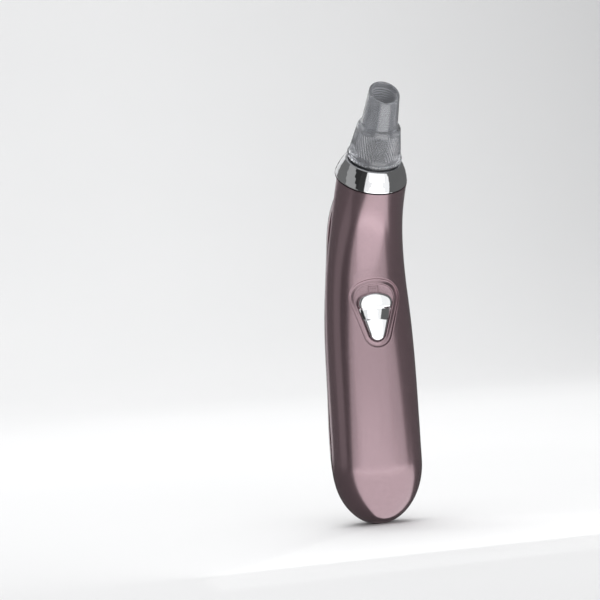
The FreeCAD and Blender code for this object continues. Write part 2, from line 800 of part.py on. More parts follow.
def hose_route():
    """The hose's run: out of the pump, one arc, and up into the socket's spigot."""
    start = DRIVE_FRAME.multVec(Vector(0, 0, 34.9))
    end = TIP_FRAME.multVec(Vector(0, 0, -2.6))
    out = DRIVE_FRAME.Rotation.multVec(Vector(0, 0, 1))
    up = TIP_FRAME.Rotation.multVec(Vector(0, 0, 1))
    gap = end - start
    reach = (gap.y * up.z - gap.z * up.y) / (out.y * up.z - out.z * up.y)
    corner = start + out * reach
    half_turn = out.getAngle(up) / 2
    tangent = size("hose_arc") * math.tan(half_turn)
    first = corner - out * tangent
    last = corner + up * tangent
    sag = size("hose_arc") * (1 / math.cos(half_turn) - 1)
    middle = corner + (up - out).normalize() * sag
    return start, first, middle, last, end, out


def make_suction_hose():
    """The soft hose between the pump's inlet and the tip's socket."""
    start, first, middle, last, end, out = hose_route()
    path = Part.Wire(
        [
            Part.LineSegment(start, first).toShape(),
            Part.Arc(first, middle, last).toShape(),
            Part.LineSegment(last, end).toShape(),
        ]
    )
    tubes = []
    for radius in (size("hose_radius"), size("hose_bore")):
        profile = Part.Wire([Part.Circle(start, out, radius).toShape()])
        tubes.append(path.makePipeShell([profile], True, False))
    hose = doc.addObject("Part::Feature", "hose_tube")
    hose.Shape = tubes[0].cut(tubes[1])
    return node(hose, "suction_hose")


def lead(name, label, side):
    """One motor lead: up from the board, one bend and back to the motor's end cap."""
    wire_radius = 0.45
    board_y = size("board_back") + 0.3
    foot = Vector(side * 3.0, board_y, size("board_bottom") + size("board_high") - 5.0)
    end = DRIVE_FRAME.multVec(Vector(side * 3.0, 1.2, -2.3))
    knee = Vector(side * 3.0, end.y, foot.z)
    turn = 1.6
    run = [
        Part.LineSegment(foot, knee - Vector(0, turn, 0)).toShape(),
        Part.Arc(
            knee - Vector(0, turn, 0),
            knee + Vector(0, turn * (math.sqrt(0.5) - 1), turn * (1 - math.sqrt(0.5))),
            knee + Vector(0, 0, turn),
        ).toShape(),
        Part.LineSegment(knee + Vector(0, 0, turn), end).toShape(),
    ]
    profile = Part.Wire([Part.Circle(foot, Vector(0, 1, 0), wire_radius).toShape()])
    cable = doc.addObject("Part::Feature", name)
    cable.Shape = Part.Wire(run).makePipeShell([profile], True, False)
    return node(cable, label)


# ---------------------------------------------------------------------------------- ring, socket and tip
def make_neck_ring():
    """The bright ring that tapers from the neck to the tip, with a rounded top edge."""
    outline = [
        ("ring_radius - 1.7", "0"),
        ("ring_radius", "0"),
        ("ring_top_radius + 0.35", "ring_height - 0.9"),
        ("ring_top_radius", "ring_height - 0.3"),
        ("ring_top_radius - 0.5", "ring_height"),
        ("barrel_radius + 0.25", "ring_height"),
        ("barrel_radius + 0.25", "ring_height - 1.4"),
    ]
    return node(turned("ring_body", outline, TIP_FRAME), "neck_ring")


def make_nozzle_socket():
    """The dark socket under the tip: a base that closes the neck, the barrel, the spigot and the hose nipple."""
    lift = "9.0"
    outline = [
        ("hose_bore - 0.55", "0"),
        ("hose_bore", "0"),
        ("hose_bore", "6.5"),
        ("ring_radius - wall - 1.6", "6.5"),
        ("ring_radius - wall - 1.6", "8.4"),
        ("barrel_radius", "8.4"),
        ("barrel_radius", f"tip_base + {lift}"),
        ("spigot_radius", f"tip_base + {lift}"),
        ("spigot_radius", f"tip_base + {lift} + 2.0"),
        ("spigot_radius - 1.3", f"tip_base + {lift} + 2.0"),
        ("spigot_radius - 1.3", f"tip_base + {lift} + 3.6"),
        ("spigot_radius", f"tip_base + {lift} + 3.6"),
        ("spigot_radius - 0.3", f"tip_base + {lift} + 5.6"),
        ("filter_bore", f"tip_base + {lift} + 5.6"),
        ("filter_bore", "12.0"),
        ("hose_bore - 0.55", "12.0"),
    ]
    return node(turned("socket_body", outline, shifted(TIP_FRAME, z=-9.0)), "nozzle_socket")


def make_tip_seal():
    """The O-ring in the spigot's groove."""
    ring = bind(doc.addObject("Part::Torus", "seal_ring"), Radius1="spigot_radius - 0.62", Radius2="0.66")
    ring.Placement = shifted(TIP_FRAME, z=size("tip_base") + 2.8)
    return node(ring, "tip_seal")


def make_filter():
    """The sponge in the spigot's bore and the drilled grille that keeps it there."""
    sponge = rod("sponge_body", "filter_bore - 0.05", "9.0", (0, 0, 3.1), TIP_FRAME)
    node(sponge, "filter_sponge")
    plate = rod("grille_plate", "filter_bore - 0.05", "1.4", (0, 0, 12.2), TIP_FRAME)
    holes = [rod("grille_hole", "0.8", "4", (0, 0, 11), TIP_FRAME)]
    for number in range(6):
        angle = math.radians(60 * number)
        foot = (3.3 * math.cos(angle), 3.3 * math.sin(angle), 11)
        holes.append(rod(f"grille_hole{number}", "0.8", "4", foot, TIP_FRAME))
    return node(cut("grille_drilled", plate, *holes), "filter_grille")


def make_suction_tip():
    """The clear tip: toothed flange, skirt, shoulder, narrower neck and a slanted mouth."""
    outline = [
        ("tip_bore", "0"),
        ("tip_flange - 0.5", "0"),
        ("tip_flange - 0.5", "1.5"),
        ("tip_skirt", "1.5"),
        ("tip_shoulder", "15.2"),
        ("tip_neck", "16.4"),
        ("tip_mouth", "tip_length"),
        ("tip_mouth - 1.1", "tip_length"),
        ("tip_neck - 1.3", "17.2"),
        ("tip_shoulder - 1.4", "14.4"),
        ("tip_bore", "6.2"),
    ]
    frame = shifted(TIP_FRAME, z=size("tip_base"))
    body = turned("tip_body", outline, frame)
    teeth = []
    for number in range(int(size("flange_teeth"))):
        turn = Rotation(Vector(0, 0, 1), 360 * number / size("flange_teeth"))
        tooth = bind(doc.addObject("Part::Box", f"tooth{number}"), Length="0.9", Width="0.8", Height="1.5")
        reach = turn.multVec(Vector(size("tip_flange") - 0.9, -0.4, 0))
        tooth.Placement = shifted(frame, *reach, turn)
        teeth.append(tooth)
    slant = Rotation(Vector(1, 0, 0), size("mouth_slant"))
    slice_off = block("mouth_slice", "40", "60", "20", (0, 0, 0))
    top = Vector(0, size("tip_mouth"), size("tip_length") - 0.02)
    place = Placement(top, slant) * Placement(Vector(-20, -50, 0), Rotation())
    slice_off.Placement = frame * place
    return node(cut("tip_cut", fuse("tip_toothed", body, *teeth), slice_off), "suction_tip")


# --------------------------------------------------------------------------------------- build and write
make_front_shell()
make_back_shell()
make_battery_cover()
make_case_screws()
make_slide_button()
make_button_carrier()
make_switch()
make_circuit_board()
make_cells()
make_battery_tray()
make_contacts()
make_motor()
make_eccentric()
make_pump()
make_motor_mount()
make_suction_hose()
lead("lead_left", "motor_lead_red", -1)
lead("lead_right", "motor_lead_black", 1)
make_neck_ring()
make_nozzle_socket()
make_tip_seal()
make_filter()
make_suction_tip()
doc.recompute()

for thing in doc.Objects:
    if "Invalid" in thing.State or "Error" in thing.State:
        raise RuntimeError(f"{thing.Name} could not be built: {thing.State}")
for part in NODES:
    if part.Shape.isNull() or not part.Shape.isValid() or part.Shape.Volume <= 0:
        raise RuntimeError(f"{part.Label} has no valid shape")

os.makedirs("parts", exist_ok=True)
for part in NODES:
    part.Shape.exportStep(f"parts/{part.Label}.step")
    print(f"{part.Label}: {len(part.Shape.Solids)} solid(s), {part.Shape.Volume:.1f} mm3")
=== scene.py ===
"""Looks of the blackhead vacuum extractor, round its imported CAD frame.

Shapes are in millimetres, and the stage, lights and camera are in metres.
"""

import math

import bmesh
import bpy
import numpy as np
from mathutils import Matrix, Vector


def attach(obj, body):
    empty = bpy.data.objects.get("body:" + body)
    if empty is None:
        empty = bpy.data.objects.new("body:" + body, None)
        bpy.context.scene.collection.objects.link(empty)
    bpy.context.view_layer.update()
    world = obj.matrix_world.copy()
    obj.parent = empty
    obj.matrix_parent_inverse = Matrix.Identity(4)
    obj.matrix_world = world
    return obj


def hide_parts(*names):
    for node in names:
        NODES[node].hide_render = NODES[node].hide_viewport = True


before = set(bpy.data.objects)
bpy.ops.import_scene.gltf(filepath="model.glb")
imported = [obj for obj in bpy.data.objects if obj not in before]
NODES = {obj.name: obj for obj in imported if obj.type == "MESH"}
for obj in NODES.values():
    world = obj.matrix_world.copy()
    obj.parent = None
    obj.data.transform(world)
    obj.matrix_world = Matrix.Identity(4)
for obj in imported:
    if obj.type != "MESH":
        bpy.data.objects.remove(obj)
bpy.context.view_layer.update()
MM = 0.001
METRE = 1000.0

# ------------------------------------------------------------------------------------ shape of the handle
BEND_HEIGHT, BEND_RADIUS, NECK_LEAN = 101.0, 90.0, math.radians(36.0)
NECK_END = BEND_HEIGHT + BEND_RADIUS * NECK_LEAN
BULB_HEIGHT, CAP_LENGTH = 27.1, 27.6
# how much rounder than the grip the end of the bulb is
CAP_ROUNDER = 0.3
# station along the centreline, half width, half depth, squareness of the oval (2 is an ellipse)
STATIONS = np.array([
    (27.1, 20.7, 14.0, 2.45),
    (58.0, 20.6, 14.1, 2.45),
    (90.0, 19.9, 13.6, 2.35),
    (121.36, 17.6, 13.7, 2.15),
    (140.58, 16.3, 14.7, 2.03),
    (NECK_END, 16.0, 16.0, 2.0),
])
WALL = 1.8
FULL_TURN = 2 * math.pi


def spline(xs, ys):
    """A cubic spline through points, level at its first point and free at its last. Returns a function."""
    count = len(xs)
    step = np.diff(xs)
    matrix = np.zeros((count, count))
    right = np.zeros(count)
    matrix[0, 0], matrix[0, 1] = 2 * step[0], step[0]
    right[0] = 6 * (ys[1] - ys[0]) / step[0]
    matrix[-1, -1] = 1
    for i in range(1, count - 1):
        matrix[i, i - 1], matrix[i, i], matrix[i, i + 1] = step[i - 1], 2 * (step[i - 1] + step[i]), step[i]
        right[i] = 6 * ((ys[i + 1] - ys[i]) / step[i] - (ys[i] - ys[i - 1]) / step[i - 1])
    bends = np.linalg.solve(matrix, right)

    def at(x):
        x = np.asarray(x, float)
        i = np.clip(np.searchsorted(xs, x) - 1, 0, count - 2)
        h = step[i]
        a, b = (xs[i + 1] - x) / h, (x - xs[i]) / h
        curve = ((a**3 - a) * bends[i] + (b**3 - b) * bends[i + 1]) * h**2 / 6
        return a * ys[i] + b * ys[i + 1] + curve

    return at


WIDTH = spline(STATIONS[:, 0], STATIONS[:, 1])
DEPTH = spline(STATIONS[:, 0], STATIONS[:, 2])
SQUARE = spline(STATIONS[:, 0], STATIONS[:, 3])


def section(station, inset=0.0):
    """Half width, half depth and squareness of the handle at a station, on the form that lies inset inside it."""
    s = np.asarray(station, float)
    length = CAP_LENGTH - inset
    share = np.clip((BULB_HEIGHT - s) / length, 0, 1)
    shrink = np.sqrt(np.maximum(1 - share**2, 1e-9))
    upper = np.maximum(s, BULB_HEIGHT)
    square = SQUARE(upper) - CAP_ROUNDER * share**2
    return (WIDTH(upper) - inset) * shrink, (DEPTH(upper) - inset) * shrink, square


def on_handle(station, angle, inset=0.0):
    """Points of the handle's form. Angle 0 is +X, and -90 degrees is the front."""
    s, angle = np.broadcast_arrays(np.asarray(station, float), np.asarray(angle, float))
    wide, deep, square = section(s, inset)
    c, n = np.cos(angle), np.sin(angle)
    scale = (np.abs(c) ** square + np.abs(n) ** square) ** (-1 / square)
    x, y = wide * c * scale, deep * n * scale
    tilt = np.clip((s - BEND_HEIGHT) / BEND_RADIUS, 0, None)
    low = np.minimum(s, BEND_HEIGHT)
    ry = BEND_RADIUS * (np.cos(tilt) - 1) + y * np.cos(tilt)
    rz = low + BEND_RADIUS * np.sin(tilt) + y * np.sin(tilt)
    return np.stack([x, ry, rz], -1)


def front_depth(x, z, inset=0.0):
    """Y of the front of the handle's form over points of the XZ plane, found by a few steps of search."""
    x, z = np.asarray(x, float), np.asarray(z, float)
    station = z.copy()
    for _ in range(12):
        wide, deep, square = section(station, inset)
        side = np.clip(np.abs(x) / wide, 0, 0.999)
        y = -deep * (1 - side**square) ** (1 / square)
        tilt = np.clip((station - BEND_HEIGHT) / BEND_RADIUS, 0, None)
        height = np.minimum(station, BEND_HEIGHT) + BEND_RADIUS * np.sin(tilt) + y * np.sin(tilt)
        station = station + (z - height)
    return BEND_RADIUS * (np.cos(tilt) - 1) + y * np.cos(tilt)


# --------------------------------------------------------------------------------------------- mesh helpers
def mesh_object(name, points, faces):
    """A smooth object from points in millimetres and faces."""
    mesh = bpy.data.meshes.new(name)
    mesh.from_pydata([tuple(p) for p in np.asarray(points) * MM], [], [tuple(f) for f in faces])
    mesh.validate()
    mesh.update()
    thing = bpy.data.objects.new(name, mesh)
    bpy.context.scene.collection.objects.link(thing)
    mesh.polygons.foreach_set("use_smooth", [True] * len(mesh.polygons))
    return thing


def weld(thing, reach, sharp):
    """Join points that lie together, turn all faces outwards and keep edges over an angle in degrees sharp."""
    bm = bmesh.new()
    bm.from_mesh(thing.data)
    bmesh.ops.remove_doubles(bm, verts=bm.verts, dist=reach * MM)
    bmesh.ops.recalc_face_normals(bm, faces=bm.faces)
    bm.to_mesh(thing.data)
    bm.free()
    thing.data.polygons.foreach_set("use_smooth", [True] * len(thing.data.polygons))
    thing.data.update()
    thing.data.set_sharp_from_angle(angle=math.radians(sharp))


def grid_faces(rows, columns, start=0, closed=False, flip=False, hole=(0, 0, 0, 0)):
    """Quads between rows of points. A closed grid joins its last column to its first. A hole is (first row, last
    row, first column, last column), and its quads are left out."""
    faces = []
    for r in range(rows - 1):
        for c in range(columns if closed else columns - 1):
            if hole[0] <= r < hole[1] and hole[2] <= c < hole[3]:
                continue
            a, b = start + r * columns + c, start + r * columns + (c + 1) % columns
            quad = (a, b, b + columns, a + columns)
            faces.append(quad[::-1] if flip else quad)
    return faces


def ring_faces(border, rings, start, flip=False):
    """Quads from a border inwards over rings of as many points each, and one face that closes the last ring."""
    around = len(border)
    faces = []
    outside = border
    for k in range(rings):
        here = [start + k * around + i for i in range(around)]
        for i in range(around):
            j = (i + 1) % around
            quad = (outside[i], outside[j], here[j], here[i])
            faces.append(quad[::-1] if flip else quad)
        outside = here
    faces.append(tuple(outside[::-1] if flip else outside))
    return faces


def revolve(name, outline, frame_matrix, segments, shape=None):
    """A turned piece from a closed outline of radius and height pairs. shape may move each point, by its angle."""
    outline = np.array(outline, float)
    angles = np.linspace(0, FULL_TURN, segments, endpoint=False)
    radius = outline[:, 0][:, None] * np.ones(segments)
    high = outline[:, 1][:, None] * np.ones(segments)
    turn = np.ones(len(outline))[:, None] * angles
    if shape:
        radius, high = shape(radius, high, turn)
    local = np.stack([radius * np.cos(turn), radius * np.sin(turn), high], -1).reshape(-1, 3)
    world = local @ np.array(frame_matrix.to_3x3()).T + np.array(frame_matrix.translation)
    faces = grid_faces(len(outline), segments, closed=True)
    last = (len(outline) - 1) * segments
    faces += [(last + c, last + (c + 1) % segments, (c + 1) % segments, c) for c in range(segments)]
    return mesh_object(name, world, faces)


def rounded(corners, steps=5):
    """A closed polygon with its corners rounded. Corners are (radius, height, rounding)."""
    points = []
    count = len(corners)
    for i, (r, h, rounding) in enumerate(corners):
        here = Vector((r, h))
        one = Vector(corners[(i - 1) % count][:2]) - here
        two = Vector(corners[(i + 1) % count][:2]) - here
        half = one.angle(two) / 2
        reach = min(rounding / math.tan(half), one.length * 0.49, two.length * 0.49)
        start, end = here + one.normalized() * reach, here + two.normalized() * reach
        for k in range(steps + 1):
            t = k / steps
            p = start * (1 - t) ** 2 + here * 2 * t * (1 - t) + end * t**2
            points.append((p.x, p.y))
    return points


def dense(points, step):
    """The same closed outline with no edge longer than a step."""
    result = []
    count = len(points)
    for i in range(count):
        a, b = Vector(points[i]), Vector(points[(i + 1) % count])
        pieces = max(1, math.ceil((b - a).length / step))
        result += [tuple(a.lerp(b, k / pieces)) for k in range(pieces)]
    return result


def smooth(t):
    """An even rise from 0 to 1, level at both ends."""
    t = np.clip(t, 0, 1)
    return t * t * (3 - 2 * t)


# -------------------------------------------------------------------------------------- outline of the recess
# each triangle: the upper corners' x, z and radius, the crown's radius, and the toe's z and radius
RECESS = (3.9, 100.8, 5.2, 16.0, 85.5, 4.2)
BUTTON = (3.83, 98.3, 4.0, 12.5, 85.5, 3.9)
ARC_STEPS = 200


def triangle_outline(corner_x, corner_z, corner, crown, toe_z, toe, count):
    """Points and outward normals round a rounded triangle in the XZ plane, evenly spaced, from the right side up."""
    crown_z = corner_z - math.sqrt((crown - corner) ** 2 - corner_x**2)
    run = Vector((corner_x, corner_z - toe_z))
    span = run.length
    rise = (toe - corner) / span
    along = run / span
    side = along * rise + Vector((along.y, -along.x)) * math.sqrt(1 - rise**2)
    side_angle = math.atan2(side.y, side.x)
    crown_angle = math.atan2(corner_z - crown_z, corner_x)
    arcs = [
        ((corner_x, corner_z), corner, side_angle, crown_angle),
        ((0, crown_z), crown, crown_angle, math.pi - crown_angle),
        ((-corner_x, corner_z), corner, math.pi - crown_angle, math.pi - side_angle),
        ((0, toe_z), toe, math.pi - side_angle, 2 * math.pi + side_angle),
    ]
    points, normals = [], []
    for centre, radius, first, last in arcs:
        for angle in np.linspace(first, last, ARC_STEPS):
            normal = np.array((math.cos(angle), math.sin(angle)))
            points.append(np.array(centre) + radius * normal)
            normals.append(normal)
    points.append(points[0])
    normals.append(normals[0])
    points, normals = np.array(points), np.array(normals)
    travelled = np.r_[0, np.cumsum(np.linalg.norm(np.diff(points, axis=0), axis=1))]
    even = np.linspace(0, travelled[-1], count, endpoint=False)
    px, pz = np.interp(even, travelled, points[:, 0]), np.interp(even, travelled, points[:, 1])
    nx, nz = np.interp(even, travelled, normals[:, 0]), np.interp(even, travelled, normals[:, 1])
    size = np.hypot(nx, nz)
    return np.stack([px, pz], 1), np.stack([nx / size, nz / size], 1)


# ------------------------------------------------------------------------------------------- the front shell
# the skin's grid: rows along the handle, and columns from one parting edge round the front to the other
FOOT_WRAP = 3.0
DENSE_END = 12
ROW_STEP = 1.0
COLUMNS = 150
PARTING_ANGLE = 1.2
# the hole in the grid for the recess: its lowest and highest stations, half its width and the height it centres on
HOLE_LOW, HOLE_HIGH, HOLE_HALF, HOLE_MIDDLE = 73.0, 111.5, 14.0, 94.0
# the recess: the Y of its floor, the depth of its lip, how far the lip reaches out, and the floor's inset edge
FLOOR_Y = -10.9
LIP_DEPTH = 1.1
LIP_REACH = 7.6
FLOOR_INSET = 0.3
EDGE_ROUND = 0.42
OUTLINE_POINTS = 1440
# the flat patch behind the recess, inside the shell: its Y and how far it reaches past the recess
PATCH_Y = -9.3
PATCH_REACH = 0.9


def lip_profile():
    """Outward distance from the recess edge and drop below the skin, from the outside in to the pocket's edge."""
    rows = [(d, 0.0) for d in np.linspace(LIP_REACH, 2.9, 9)]
    for t in np.linspace(0, 1, 9):
        rows.append((2.6 - 0.55 * t, LIP_DEPTH * float(smooth(t))))
    for distance, rise in ((1.7, -0.02), (1.3, 0.0), (0.9, 0.06), (0.6, 0.12)):
        rows.append((distance, LIP_DEPTH - rise))
    for angle in np.linspace(0, 90, 7):
        a = math.radians(angle)
        rows.append((EDGE_ROUND * (1 - math.sin(a)), LIP_DEPTH - 0.14 + EDGE_ROUND * (1 - math.cos(a))))
    return rows


def matched_outline(loop_points):
    """The recess's outline and normals, with a point in the same direction from its middle as each of the loop's."""
    outline, normals = triangle_outline(*RECESS, OUTLINE_POINTS)
    outside = outline + normals * LIP_REACH
    outside_angle = np.unwrap(np.arctan2(outside[:, 1] - HOLE_MIDDLE, outside[:, 0]))
    order = np.argsort(np.mod(outside_angle, FULL_TURN))
    known = np.mod(outside_angle, FULL_TURN)[order]
    known = np.r_[known[-1] - FULL_TURN, known, known[0] + FULL_TURN]
    wanted = np.mod(np.arctan2(loop_points[:, 2] - HOLE_MIDDLE, loop_points[:, 0]), FULL_TURN)

    def pick(values):
        sorted_values = values[order]
        return np.interp(wanted, known, np.r_[sorted_values[-1:], sorted_values, sorted_values[:1]])

    px, pz = pick(outline[:, 0]), pick(outline[:, 1])
    nx, nz = pick(normals[:, 0]), pick(normals[:, 1])
    size = np.hypot(nx, nz)
    return px, pz, nx / size, nz / size


def towards_middle(x, z, y, share):
    """A ring shrunk towards the middle of the recess, all at one Y."""
    return np.stack([x * share, np.full(len(x), y), HOLE_MIDDLE + (z - HOLE_MIDDLE) * share], 1)


def recess_rings(loop_points, px, pz, nx, nz):
    """Rings of points from the hole in the skin over the double lip, down the wall and across the floor."""
    rings = []
    start_x, start_z = px + LIP_REACH * nx, pz + LIP_REACH * nz
    for t in (0.34, 0.67):
        x = loop_points[:, 0] * (1 - t) + start_x * t
        z = loop_points[:, 2] * (1 - t) + start_z * t
        rings.append(np.stack([x, front_depth(x, z), z], 1))
    for distance, drop in lip_profile():
        x, z = px + distance * nx, pz + distance * nz
        rings.append(np.stack([x, front_depth(x, z) + drop, z], 1))
    edge = rings[-1]
    for share in (0.25, 0.5, 0.75, 0.93):
        wall = edge.copy()
        wall[:, 1] = edge[:, 1] * (1 - share) + FLOOR_Y * share
        rings.append(wall)
    for inset, lift in ((0.1, 0.03), (FLOOR_INSET, 0.0)):
        rings.append(np.stack([px - inset * nx, np.full(len(px), FLOOR_Y - lift), pz - inset * nz], 1))
    for share in (0.75, 0.5, 0.25, 0.02):
        rings.append(towards_middle(px - FLOOR_INSET * nx, pz - FLOOR_INSET * nz, FLOOR_Y, share))
    return rings


def patch_rings(px, pz, nx, nz):
    """Rings of points of the shell's inner face behind the recess, from the hole in."""
    rings = []
    for grow, depth in ((2.4, None), (1.7, PATCH_Y), (PATCH_REACH, PATCH_Y)):
        x, z = px + grow * nx, pz + grow * nz
        y = front_depth(x, z, WALL) if depth is None else np.full(len(px), depth)
        rings.append(np.stack([x, y, z], 1))
    for share in (0.5, 0.02):
        rings.append(towards_middle(px + PATCH_REACH * nx, pz + PATCH_REACH * nz, PATCH_Y, share))
    return rings


def foot(start, angles):
    """Points and faces of the foot, where the front shell wraps right round under the parting line's lower end."""
    around = 2 * COLUMNS - 2
    behind = np.linspace(angles[-1], angles[0] + FULL_TURN, COLUMNS)[1:-1]
    angles = np.r_[angles, behind]
    outer = [on_handle(np.full(around, s), angles) for s in (FOOT_WRAP, 2.4, 1.8, 1.2, 0.7, 0.3, 0.08, 0.0)]
    outer[-1] = outer[-1] * np.array((0.97, 0.97, 1.0))
    outer += [outer[-1] * np.array((share, share, 1.0)) for share in (0.6, 0.02)]
    inner = [on_handle(np.full(around, s), angles, WALL) for s in (FOOT_WRAP, 2.4, 1.9)]
    inner += [inner[-1] * np.array((share, share, 1.0)) for share in (0.5, 0.02)]
    inner_start = start + len(outer) * around
    faces = grid_faces(len(outer), around, start=start, closed=True, flip=True)
    faces.append(tuple(range(inner_start - around, inner_start)))
    faces += grid_faces(len(inner), around, start=inner_start, closed=True)
    inner_end = inner_start + len(inner) * around
    faces.append(tuple(reversed(range(inner_end - around, inner_end))))
    # the rim at the back, where the back shell stands on the foot
    for c in range(COLUMNS - 1, around):
        after = (c + 1) % around
        faces.append((start + c, start + after, inner_start + after, inner_start + c))
    return outer + inner, faces


def front_shell():
    """The front shell: skin with the recess, inner face, rims and foot, as the points and faces of one mesh."""
    low_stations = np.linspace(FOOT_WRAP, DENSE_END, 14)[:-1]
    stations = np.r_[low_stations, np.arange(DENSE_END, NECK_END - 0.6, ROW_STEP), NECK_END - 0.12]
    rows = len(stations)
    count = rows * COLUMNS
    angles = np.linspace(math.radians(180 + PARTING_ANGLE), math.radians(360 - PARTING_ANGLE), COLUMNS)
    outer = on_handle(stations[:, None], angles[None, :])
    inner = on_handle(stations[:, None], angles[None, :], WALL).reshape(-1, 3)
    r0, r1 = np.searchsorted(stations, HOLE_LOW), np.searchsorted(stations, HOLE_HIGH)
    c0 = np.argmin(np.abs(outer[(r0 + r1) // 2, :, 0] + HOLE_HALF))
    c1 = COLUMNS - 1 - c0
    outer = outer.reshape(-1, 3)
    # the hole's border, counter-clockwise seen from the front
    loop = [r0 * COLUMNS + c for c in range(c0, c1)]
    loop += [r * COLUMNS + c1 for r in range(r0, r1)]
    loop += [r1 * COLUMNS + c for c in range(c1, c0, -1)]
    loop += [r * COLUMNS + c0 for r in range(r1, r0, -1)]
    edge = matched_outline(outer[loop])
    recess = recess_rings(outer[loop], *edge)
    patch = patch_rings(*edge)
    inner_start = count + len(recess) * len(loop)
    patch_start = inner_start + count
    foot_points, foot_faces = foot(patch_start + len(patch) * len(loop), angles)
    hole = (r0, r1, c0, c1)
    faces = grid_faces(rows, COLUMNS, hole=hole)
    faces += ring_faces(loop, len(recess), count)
    faces += grid_faces(rows, COLUMNS, start=inner_start, hole=hole, flip=True)
    faces += ring_faces([inner_start + i for i in loop], len(patch), patch_start, flip=True)
    # rims along the parting edges and round the neck's end
    for c, flip in ((0, False), (COLUMNS - 1, True)):
        for r in range(rows - 1):
            a, b = r * COLUMNS + c, (r + 1) * COLUMNS + c
            quad = (a, b, inner_start + b, inner_start + a)
            faces.append(quad[::-1] if flip else quad)
    for a in range(count - COLUMNS, count - 1):
        faces.append((inner_start + a + 1, inner_start + a, a, a + 1))
    return np.concatenate([outer, *recess, inner, *patch, *foot_points]), faces + foot_faces


def build_front_shell():
    shell = mesh_object("FrontShell", *front_shell())
    weld(shell, 0.02, 50)
    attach(shell, "handle")
    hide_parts("front_shell")
    return shell


# ------------------------------------------------------------------------------------ button and window mark
AROUND = 360
# the button's underside, and the Y that none of its face goes behind
BUTTON_SEAT, BUTTON_RIM = -11.2, -11.55
BUTTON_ROUND = 1.3
# the last ring that follows the outline, and the ends of the line that the rest of the face closes on
INNER_INSET, SPINE_LOW, SPINE_HIGH = 3.4, 85.9, 98.9
# heights where the thumb hollow starts and ends, the height over which it blends, and how high its ends rise
HOLLOW_TOP, HOLLOW_BOTTOM, HOLLOW_BLEND, HOLLOW_BRINK = 96.6, 90.6, 0.9, -13.9


def button_relief(z):
    """Y of the button's face along its middle: a domed pad, a thumb hollow and a toe pad."""
    z = np.asarray(z, float)
    pad = -14.3 + 0.03 * (z - 99.4) ** 2
    toe = -13.9 + 0.008 * (z - 86.0) ** 2
    hollow = np.maximum(-13.7 - 0.03 * (z - 93.5) ** 2, HOLLOW_BRINK)
    upper = smooth((z - 95.9) / HOLLOW_BLEND)
    lower = smooth((91.3 - z) / HOLLOW_BLEND)
    return pad * upper + toe * lower + hollow * (1 - upper - lower)


def waist_share(z):
    """How far a height of the button is inside its thumb hollow."""
    return smooth((HOLLOW_TOP - z) / HOLLOW_BLEND) * smooth((z - HOLLOW_BOTTOM) / HOLLOW_BLEND)


def across(x, z):
    """The button's face is domed from side to side: slightly on its pads, and strongly in the thumb hollow."""
    return (0.010 + 0.036 * waist_share(z)) * x**2


def build_button():
    outline, normals = triangle_outline(*BUTTON, AROUND)
    rings = [(outline - normals * 0.3, np.full(AROUND, BUTTON_SEAT)), (outline, np.full(AROUND, BUTTON_SEAT - 0.3))]
    insets = [BUTTON_ROUND * (1 - math.cos(math.radians(a))) for a in (0, 8, 17, 26, 36, 46, 56, 68, 80, 90)]
    for inset in [*insets, 1.7, 2.2, 2.8, INNER_INSET]:
        flat = outline - normals * inset
        left = max(BUTTON_ROUND - inset, 0.0)
        drop = BUTTON_ROUND - math.sqrt(max(BUTTON_ROUND**2 - left**2, 0.0))
        drop = drop * (1 - 0.95 * waist_share(flat[:, 1]))
        rings.append((flat, np.minimum(button_relief(flat[:, 1]) + drop + across(*flat.T), BUTTON_RIM)))
    inner = outline - normals * INNER_INSET
    spine = np.stack([np.zeros(AROUND), np.clip(inner[:, 1], SPINE_LOW, SPINE_HIGH)], 1)
    for share in np.linspace(0.1, 1.0, 10):
        flat = inner * (1 - share) + spine * share
        rings.append((flat, button_relief(flat[:, 1]) + across(*flat.T)))
    points = [np.stack([flat[:, 0], y, flat[:, 1]], 1) for flat, y in rings]
    faces = grid_faces(len(rings), AROUND, closed=True)
    faces.append(tuple(reversed(range(AROUND))))
    button = mesh_object("SlideButton", np.concatenate(points), faces)
    weld(button, 0.01, 60)
    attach(button, "button")
    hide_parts("slide_button")
    return button


def build_window_mark():
    """A small raised mark on the recess floor over the button: two posts, a bar across and four short bars."""
    boxes = [(x - 0.22, x + 0.22, 103.3, 106.1) for x in (-2.25, 2.25)]
    boxes.append((-2.03, 2.03, 105.6, 106.0))
    boxes += [(x - 0.12, x + 0.12, 104.6, 105.2) for x in (-1.2, -0.4, 0.4, 1.2)]
    points, faces = [], []
    for x0, x1, z0, z1 in boxes:
        start = len(points)
        for y, shrink in ((FLOOR_Y + 0.1, 0.0), (FLOOR_Y - 0.13, 0.0), (FLOOR_Y - 0.2, 0.07)):
            points += [(x0 + shrink, y, z0 + shrink), (x1 - shrink, y, z0 + shrink)]
            points += [(x1 - shrink, y, z1 - shrink), (x0 + shrink, y, z1 - shrink)]
        faces += grid_faces(3, 4, start=start, closed=True)
        faces += [(start + 3, start + 2, start + 1, start), tuple(range(start + 8, start + 12))]
    mark = mesh_object("WindowMark", points, faces)
    weld(mark, 0.001, 40)
    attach(mark, "handle")
    return mark


# ---------------------------------------------------------------------------------------------- ring and tip
# the middle of the neck's end, with Z along the tip's axis
NECK_PLACE = (0, -BEND_RADIUS * (1 - math.cos(NECK_LEAN)), BEND_HEIGHT + BEND_RADIUS * math.sin(NECK_LEAN))
TIP_FRAME = Matrix.Translation(NECK_PLACE) @ Matrix.Rotation(NECK_LEAN, 4, "X")
TIP_BASE = 10.0
TEETH = 48
TOOTH_DEPTH = 0.42
